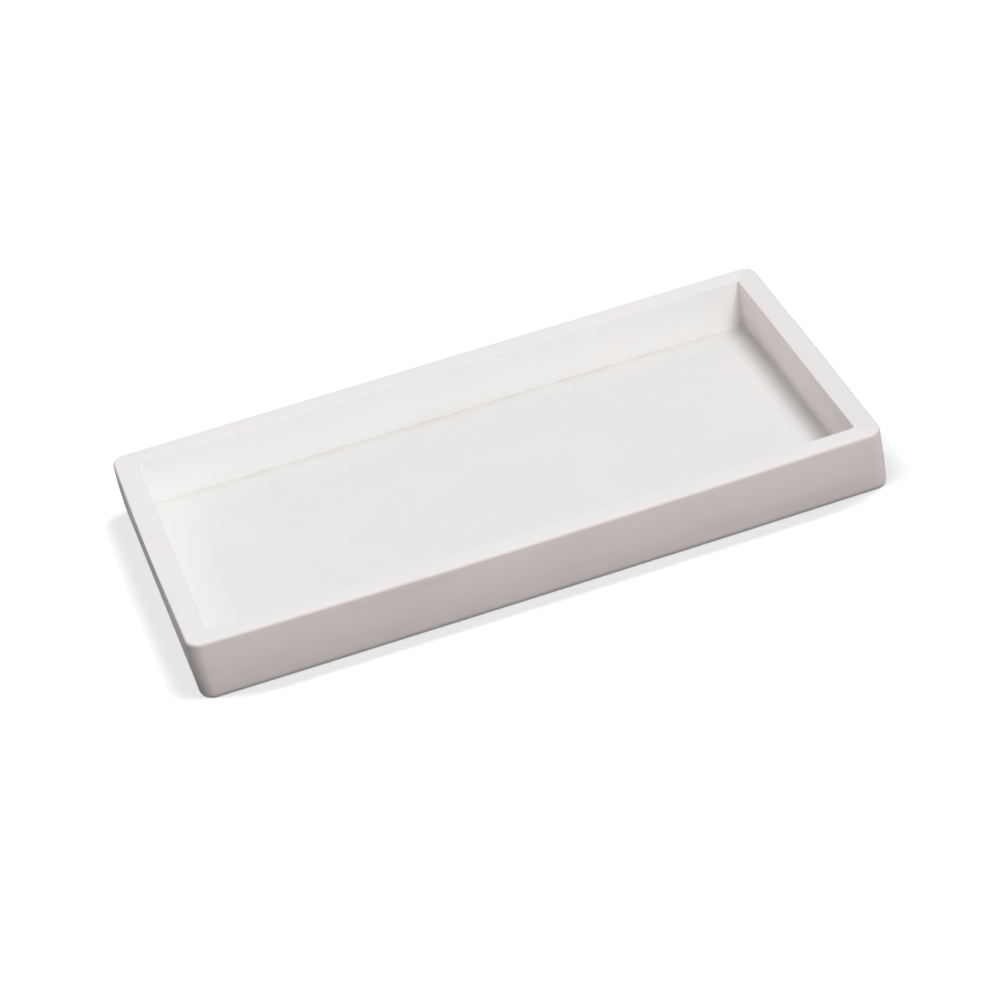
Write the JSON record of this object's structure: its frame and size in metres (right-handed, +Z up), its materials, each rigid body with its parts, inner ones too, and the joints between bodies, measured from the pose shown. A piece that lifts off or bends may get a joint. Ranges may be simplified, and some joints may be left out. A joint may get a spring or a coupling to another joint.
{
  "type": "vanity tray",
  "caption": "Shallow rectangular silicone tray with thick plain walls, rounded outer corners and grip pads underneath, for keeping small toiletries together.",
  "frame": {"origin": "centre of the footprint, on the surface that the tray stands on", "axes": "+X along the long side to the right, +Y to the back, +Z up out of the open top"},
  "size_m": [0.25, 0.13, 0.023],
  "materials": {
    "tray_silicone": "matt warm-white moulded silicone with a fine even grain",
    "pad_silicone": "soft satin grey silicone"
  },
  "bodies": {
    "root": {"tray": "tray_silicone", "grip_pad_front_left": "pad_silicone", "grip_pad_front_right": "pad_silicone", "grip_pad_back_left": "pad_silicone", "grip_pad_back_right": "pad_silicone"}
  },
  "joints": []
}
